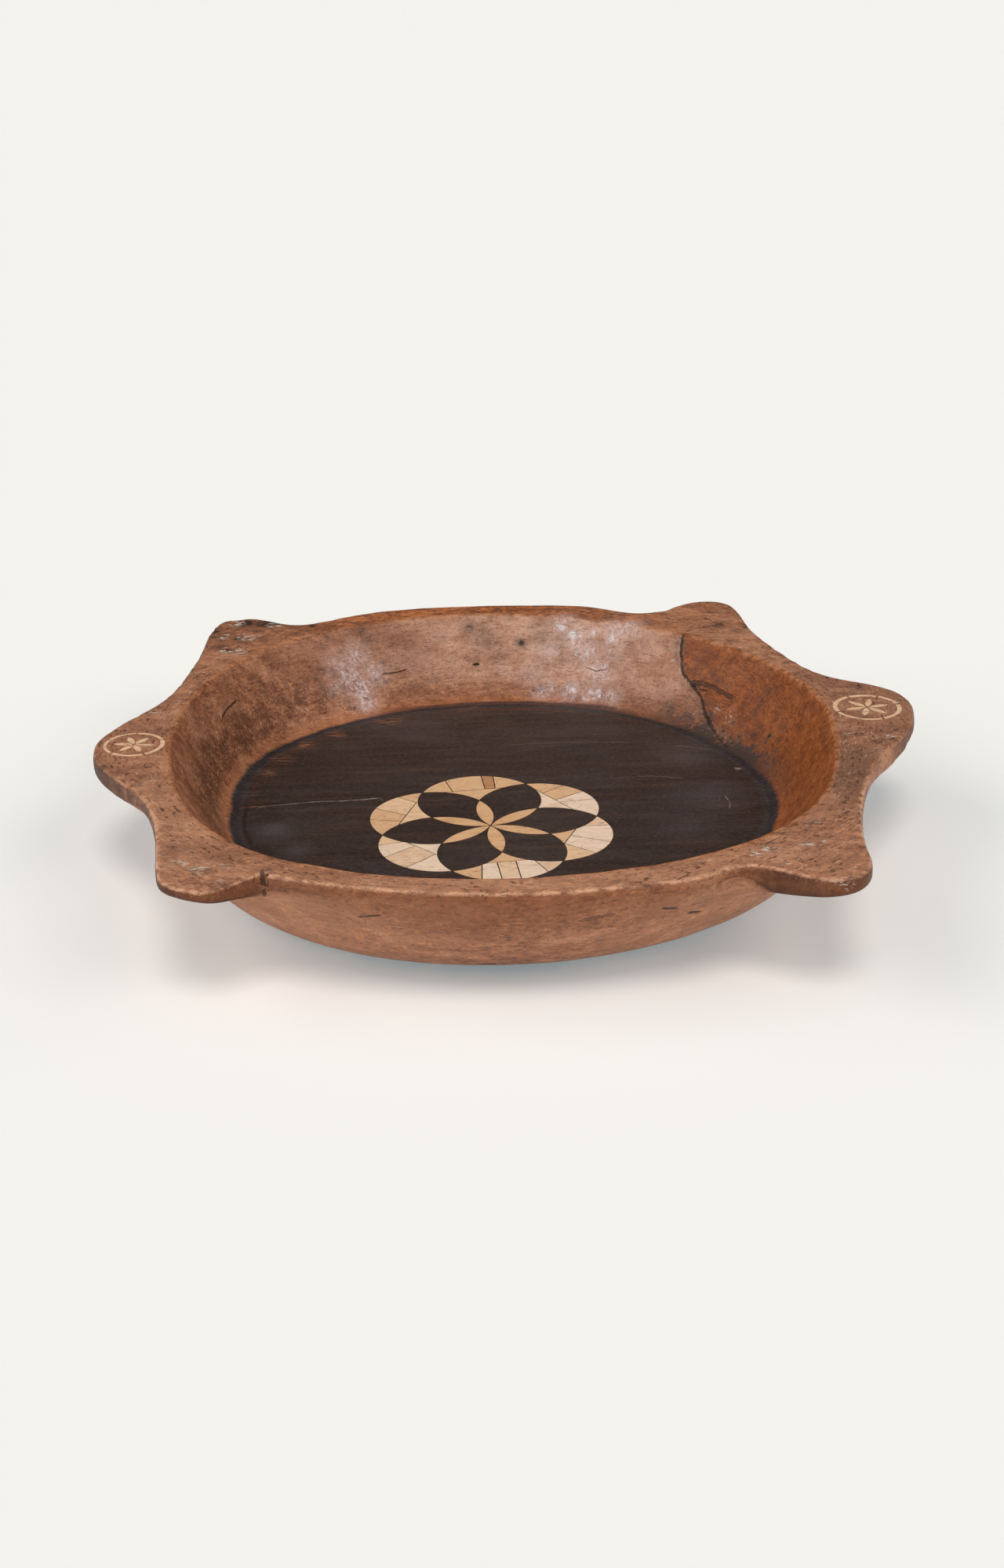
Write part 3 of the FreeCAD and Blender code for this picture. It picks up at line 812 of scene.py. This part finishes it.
def bowl_wood():
    """Old oiled hardwood, stained nearly black on the floor of the bowl."""
    s = Shading("bowl_wood")
    stain, mended, smoke, inner, edge, lip, end_grain, shade, glow = s.attributes(
        "stain", "mended", "smoke", "inner", "edge", "inner_lip", "end_grain", "shade", "glow")
    top_face, polished, back_wall_tone_and_light, left_wall = s.attributes(
        "top_face", "polished", "back_wall_tone_and_light", "left_wall")
    painted_shade_front_side, painted_shade_lug_side, painted_shade_left_side, far_edge_shade_and_patina, painted_shade_under_edge, painted_highlight_front_edge = s.attributes(
        "painted_shade_front_side", "painted_shade_lug_side", "painted_shade_left_side", "far_edge_shade_and_patina", "painted_shade_under_edge", "painted_highlight_front_edge")
    distance, width, tone, smudge_and_shade, chipped, bloom_and_sheen = s.attributes(
        "mark_distance", "mark_width", "mark_tone", "smudge_and_shade", "chipped", "bloom_and_sheen")

    ring = s.round_the_bowl()
    bands = s.noise((80, 22, 22), distortion=0.8, turn=(0, 4, 3))
    streak = s.noise((15, 3, 3), 4.0, 0.65, source=ring)
    fibre = s.noise((7, 0.9, 0.9), 3.0, 0.65, source=ring)
    cloud = s.noise((38, 26, 26), 4.0, 0.6)
    mottle = s.noise((11, 7, 7), 6.0, 0.75)
    speck = s.noise((2.8, 1.8, 1.8), 4.0, 0.7, turn=(0, 0, 8))

    def patchy(least, most, low=0.35, high=0.6):
        """Cover that changes with the mottle of the wood."""
        return s.ramp(mottle, low, high, least, most)

    grain = s.total((streak, 0.15), (bands, 0.13), (mottle, 0.4), (speck, 0.32))
    colour = s.colours(grain, ((0.42, (102, 58, 38)), (0.47, (156, 97, 65)),
                               (0.53, (189, 125, 87)), (0.6, (220, 160, 120))))
    colour = s.mix(s.ramp(cloud, 0.47, 0.6, 0.0, 0.5), colour, (152, 95, 63))
    colour = s.mix(s.ramp(bands, 0.5, 0.62, 0.0, 0.35), colour, (201, 140, 106))
    # painted light and shade from the shade field
    colour = s.mix(s.times(shade, 0.45, clamp=True), colour, (228, 166, 124))
    colour = s.mix(s.times(shade, -0.4, clamp=True), colour, (82, 50, 36))
    # the back wall is paler, partly its tone and partly painted light
    drip = s.noise((2.6, 2.6, 9), 5.0, 0.7)
    wash = s.noise((16, 9, 13), source=ring)
    wall_tone = s.total((wash, 0.45), (drip, 0.25), (bands, 0.3))
    pale = s.mix(s.ramp(wall_tone, 0.41, 0.58), (203, 146, 115), (241, 190, 161))
    colour = s.mix(s.times(back_wall_tone_and_light, s.ramp(cloud, 0.38, 0.58, 1.0, 0.85)), colour, pale)
    # end grain drinks the oil and darkens, the mended side is a warmer wood
    soaked = s.times(end_grain, inner, patchy(0.65, 0.45, 0.42), clamp=True)
    soaked = s.math("MAXIMUM", soaked, s.times(left_wall, s.ramp(grain, 0.56, 0.44, 0.4, 0.95)))
    colour = s.mix(soaked, colour, (100, 58, 35))
    warm = s.mix(s.ramp(grain, 0.43, 0.57), (122, 60, 20), (170, 90, 32))
    colour = s.mix(s.times(mended, s.ramp(cloud, 0.3, 0.6, 0.75, 0.92)), colour, warm)
    # handling has polished the rim's edges and its back to an orange brown; the edges are also
    # lightened with painted highlight, and the top faces are paled a little
    colour = s.mix(s.times(lip, patchy(0.15, 0.6, 0.38)), colour, (184, 112, 66))
    colour = s.mix(s.times(edge, patchy(0.0, 0.5, 0.45)), colour, (206, 152, 114))
    colour = s.mix(s.times(top_face, 0.17), colour, (188, 152, 130))
    orange = s.mix(s.ramp(grain, 0.44, 0.56), (120, 60, 26), (204, 118, 60))
    colour = s.mix(s.times(polished, patchy(0.6, 0.9, 0.3)), colour, orange)
    # painted shade on the front sides
    colour = s.mix(s.times(painted_shade_front_side, patchy(0.5, 0.75)), colour, (146, 84, 48))
    # painted shade on the sides of the lugs, on sides facing left and under the lugs' lower
    # edges; the far edges dark with painted shade and patina; a painted highlight along the near
    # edge
    colour = s.mix(s.times(painted_shade_lug_side, patchy(0.95, 0.75)), colour, (110, 60, 32))
    colour = s.mix(s.times(painted_shade_left_side, patchy(0.8, 0.5)), colour, (58, 34, 22))
    colour = s.mix(s.times(far_edge_shade_and_patina, patchy(0.8, 0.45)), colour, (84, 52, 36))
    colour = s.mix(s.times(painted_shade_under_edge, 0.5), colour, (62, 40, 30))
    colour = s.mix(s.times(painted_highlight_front_edge, patchy(0.1, 0.85, 0.42, 0.58)), colour, (230, 174, 135))

    # pores and pits: short dark strokes round the bowl, most of all on the rim
    pores = s.ramp(s.noise((5, 1.2, 1.2), 2.0, source=ring), 0.6, 0.67)
    pit_level = s.noise((4.5, 2.4, 2.4), shift=(7.0, 3.0, 1.0), source=ring)
    pits = s.times(s.ramp(pit_level, 0.585, 0.65), s.ramp(cloud, 0.38, 0.52),
                   s.total((top_face, 0.6), start=0.4))
    dark_strokes = s.math("MAXIMUM", s.times(pores, 0.5), pits)
    colour = s.mix(s.times(dark_strokes, 0.75), colour, (66, 40, 28))
    scuff_level = s.noise((7, 1.3, 1.3), shift=(3.0, 9.0, 2.0), source=ring)
    scuffs = s.times(s.ramp(scuff_level, 0.6, 0.66), s.ramp(cloud, 0.6, 0.44), top_face, 0.6)
    colour = s.mix(scuffs, colour, (214, 182, 158))

    # bloom of old polish mixed with painted sheen, broken up by specks, and painted glints as
    # bright runs
    grit = s.noise((1.5, 1.5, 2.2), 3.0, 0.7)
    milk_and_sheen = s.times(bloom_and_sheen, s.ramp(drip, 0.34, 0.56, 0.3), s.ramp(grit, 0.4, 0.54, 0.35))
    colour = s.mix(milk_and_sheen, colour, (224, 198, 193))
    painted_glint = s.math("MAXIMUM", s.times(s.ramp(bloom_and_sheen, 0.4, 0.9), s.ramp(drip, 0.55, 0.64)),
                   s.times(s.ramp(bloom_and_sheen, 0.95, 1.2), s.ramp(grit, 0.34, 0.5)))
    colour = s.mix(painted_glint, colour, (246, 232, 226))

    # scratches on the inner wall
    lines = 0.0
    for number, (lengths, turn, fineness) in enumerate((
            ((30, 12, 20), (20, 30, 10), 0.012), ((16, 26, 12), (50, 10, 40), 0.012),
            ((8, 6, 8), (10, 60, 70), 0.03), ((6, 9, 6), (40, 0, 20), 0.03))):
        lines = s.math("MAXIMUM", lines, s.hairline(lengths, turn, 3.7 * number, fineness))
    scratch = s.times(lines, s.ramp(speck, 0.42, 0.56), s.total((left_wall, 0.6), start=0.25))
    colour = s.mix(scratch, colour, (66, 40, 28))
    nicks = s.times(s.hairline((9, 5, 11), (30, 20, 15), 21.0, 0.03), left_wall,
                    s.ramp(speck, 0.5, 0.6, 0.0, 0.7))
    colour = s.mix(nicks, colour, (176, 126, 98))

    # beside the floor: a band soaked with amber, smoke at the right, a dark fringe at the back
    fray = s.noise((14, 1.8, 1.8), 3.0, 0.6)
    edge_place = s.total((stain, 1.0), (fray, 3.0), start=-1.5)
    amber = s.times(s.ramp(edge_place, -11.0, -2.0), s.ramp(edge_place, 0.5, -0.5),
                    patchy(0.3, 0.75), glow)
    colour = s.mix(amber, colour, (164, 98, 56))
    reach = s.total((edge_place, 1.0), (mottle, 56.0), start=-28.0)
    colour = s.mix(s.times(smoke, s.ramp(reach, -14.0, -5.0), 0.95), colour, (60, 50, 46))
    back = s.ramp(glow, 0.72, 0.95)
    fringe = s.times(s.ramp(edge_place, -5.5, -2.5), back, patchy(0.65, 0.95))
    colour = s.mix(fringe, colour, (60, 49, 52))
    # the stained floor, with a smoky border that ends in black
    floor_tone = s.noise((60, 7, 7), 5.0, 0.65, turn=(0, 0, 2))
    floor = s.colours(floor_tone, ((0.3, (37, 25, 21)), (0.52, (50, 35, 28)),
                                   (0.72, (66, 46, 36))))
    floor = s.mix(s.times(s.ramp(edge_place, 9.0, 6.0), patchy(0.4, 0.8)), floor, (56, 52, 52))
    floor = s.mix(s.times(s.ramp(edge_place, 6.5, 3.5), patchy(0.7, 0.95)), floor, (34, 30, 33))
    floor = s.mix(s.times(s.ramp(speck, 0.46, 0.62), 0.16), floor, (112, 98, 90))
    # an orange thread inside the border, dust with painted sheen, rubbed places and a worn brink
    orange_side, rubbed = s.attributes("amber", "rubbed")
    thread = s.times(s.ramp(edge_place, 8.0, 10.0), s.ramp(edge_place, 13.0, 11.0),
                     orange_side, s.ramp(streak, 0.4, 0.6), 0.5)
    floor = s.mix(thread, floor, (112, 64, 40))
    dust_and_sheen = s.times(patchy(0.4, 1.0, 0.35, 0.65), s.ramp(bands, 0.42, 0.6, 0.2), 0.1)
    dust_and_sheen = s.math("MULTIPLY_ADD", bloom_and_sheen, 0.45, dust_and_sheen, clamp=True)
    floor = s.mix(dust_and_sheen, floor, (122, 114, 114))
    rubbed = s.times(rubbed, s.ramp(fray, 0.5, 0.58), s.ramp(edge_place, 2.5, 5.0))
    floor = s.mix(rubbed, floor, (168, 106, 74))
    brink = s.times(s.ramp(edge_place, -0.8, 0.4), s.ramp(edge_place, 2.0, 0.9), back, 0.55)
    floor = s.mix(brink, floor, (112, 70, 48))
    colour = s.mix(s.ramp(edge_place, -2.2, 1.2), colour, floor)

    # smudges, partly painted shade along the seam, chips and the drawn marks
    veil = s.times(smudge_and_shade, patchy(0.45, 0.85, 0.36, 0.56), clamp=True)
    colour = s.mix(veil, colour, (84, 58, 47))
    burn = s.total((smudge_and_shade, 1.0), (mottle, 3.4), (streak, 1.6), start=-2.5)
    burn = s.times(s.ramp(burn, 0.6, 0.95), s.ramp(smudge_and_shade, 0.5, 0.75), 0.88)
    colour = s.mix(burn, colour, (48, 36, 32))
    fleck_level = s.noise((4.2, 1.5, 1.5), turn=(0, 0, 25))
    flecks = s.times(s.ramp(fleck_level, 0.52, 0.57), s.ramp(chipped, 0.2, 0.65))
    colour = s.mix(s.times(flecks, 0.85), colour, (212, 192, 174))
    jag = s.total((s.noise((3, 3, 3)), 2.0), start=-1.0)
    wander = s.math("MULTIPLY_ADD", jag, s.times(width, 1.1), distance)
    inside_mark = s.math("SUBTRACT", width, s.math("ABSOLUTE", wander))
    mark = s.times(s.ramp(inside_mark, -0.2, 0.5), patchy(0.55, 1.0, 0.3, 0.5))
    dark_mark = s.times(mark, s.times(tone, -1.0, clamp=True))
    pale_mark = s.times(mark, s.math("MAXIMUM", tone, 0.0), patchy(0.2, 1.0))
    colour = s.mix(dark_mark, colour, (38, 26, 22))
    colour = s.mix(pale_mark, colour, (188, 170, 156))

    roughness = s.total((mottle, 0.3), (end_grain, 0.08), (bloom_and_sheen, -0.12), (edge, -0.14),
                        (flecks, 0.3), start=0.34)
    roughness = s.math("MINIMUM", roughness, 1.0)
    height = s.total((streak, 0.2), (fibre, 0.22), (mottle, 0.6), (speck, 0.3),
                     (dark_strokes, -0.35), (scratch, -0.6), (dark_mark, -1.2), (flecks, -0.5))
    return s.finish(colour, roughness, height, 0.7 * MM, 0.28)


def inlay_wood(name, pale, deep, turn, streaks):
    """Light close-grained inlay with brown flecks and soiled hairlines."""
    s = Shading(name)
    figure = s.noise((16, 1.6, 1.6), 4.0, 0.6, turn=(0, 0, turn))
    fibre = s.noise((6, 0.5, 0.5), turn=(0, 0, turn))
    cloud = s.noise((11, 9, 9))
    tone = s.total((figure, 0.5), (fibre, 0.2), (cloud, 0.3))
    colour = s.colours(tone, ((0.34, deep), (0.5, pale), (0.7, pale)))
    colour = s.mix(s.times(s.ramp(figure, 0.6, 0.72), streaks), colour, (140, 92, 58))
    line = s.times(s.hairline((14, 7, 9), (0, 0, turn + 50.0), 2.0 * streaks, 0.01), 0.5)
    colour = s.mix(line, colour, (110, 74, 50))
    roughness = s.total((cloud, 0.25), start=0.36)
    height = s.total((fibre, 0.4), (line, -1.0))
    return s.finish(colour, roughness, height, 0.25 * MM, 0.4)


def dress_inlay():
    """Give every slip the wood it has in the bowl."""
    cream = inlay_wood("inlay_cream", (237, 196, 155), (211, 166, 122), 10.0, 0.3)
    pale = inlay_wood("inlay_pale", (243, 214, 186), (224, 187, 154), 75.0, 0.2)
    honey = inlay_wood("inlay_honey", (227, 181, 137), (203, 155, 108), 40.0, 0.4)
    flecked = inlay_wood("inlay_flecked", (237, 200, 165), (209, 163, 123), -30.0, 0.9)
    petal = inlay_wood("inlay_petal", (226, 178, 132), (202, 150, 106), 0.0, 0.35)
    brown = inlay_wood("inlay_brown", (190, 138, 94), (150, 100, 64), 85.0, 0.8)
    medallion = inlay_wood("inlay_medallion", (236, 196, 156), (186, 134, 96), 20.0, 1.0)
    shells = {
        "left_back": (honey, cream, cream, honey, honey),
        "left_front": (cream, pale, pale, flecked, pale),
        "right_back": (pale, pale, pale, honey, honey),
        "right_front": (cream, pale, honey, pale, flecked),
        "back": (honey, brown, honey, honey, honey),
        "front": (honey, pale, flecked, honey, pale, flecked),
    }
    for name, node in sorted(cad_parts.items()):
        if name == BOWL_NODE:
            continue
        if "medallion" in name:
            material = medallion
        elif "petal" in name:
            material = petal
        else:
            shell, number = name.removeprefix("rosette_shell_").rsplit("_", 1)
            material = shells[shell][int(number) - 1]
        node.data.materials.clear()
        node.data.materials.append(material)


# ---- scene

def build_floor():
    side = np.linspace(-FLOOR_REACH, FLOOR_REACH, FLOOR_CELLS + 1)
    vertices = [(x, y, 0.0) for y in side for x in side]
    row = FLOOR_CELLS + 1
    faces = [(first, first + 1, first + row + 1, first + row)
             for start in range(0, FLOOR_CELLS * row, row)
             for first in range(start, start + FLOOR_CELLS)]
    mesh = bpy.data.meshes.new("studio_floor")
    mesh.from_pydata(vertices, [], faces)
    floor = add_object("studio_floor", mesh)
    material = bpy.data.materials.new("studio_floor")
    material.use_nodes = True
    surface = material.node_tree.nodes["Principled BSDF"]
    for name, value in FLOOR_LOOK.items():
        surface.inputs[name].default_value = value
    mesh.materials.append(material)


def light_studio():
    """Weak even light from all round and five very soft distant lamps."""
    world = bpy.data.worlds.new("studio")
    world.use_nodes = True
    background = world.node_tree.nodes["Background"]
    background.inputs["Color"].default_value = (1.0, 1.0, 1.0, 1.0)
    background.inputs["Strength"].default_value = WORLD_STRENGTH
    bpy.context.scene.world = world
    for name, (towards, strength, angle) in SUNS.items():
        lamp = bpy.data.lights.new(name, "SUN")
        lamp.energy = strength
        lamp.angle = math.radians(angle)
        sun = add_object(name, lamp)
        sun.rotation_mode = "QUATERNION"
        sun.rotation_quaternion = Vector(towards).to_track_quat("Z", "Y")


def place_camera():
    camera = bpy.data.cameras.new("camera")
    camera.sensor_width = 36.0
    camera.lens = CAMERA_LENS
    view = add_object("camera", camera)
    view.location = CAMERA_POSITION
    view.rotation_mode = "QUATERNION"
    level = (Vector(CAMERA_TARGET) - view.location).to_track_quat("-Z", "Y")
    view.rotation_quaternion = level @ Quaternion((0.0, 0.0, 1.0), CAMERA_ROLL)
    bpy.context.scene.camera = view
    bpy.context.scene.view_settings.view_transform = "Standard"


place_camera()
build_floor()
light_studio()
carved_bowl = build_bowl()
carved_bowl.data.materials.append(bowl_wood())
dress_inlay()
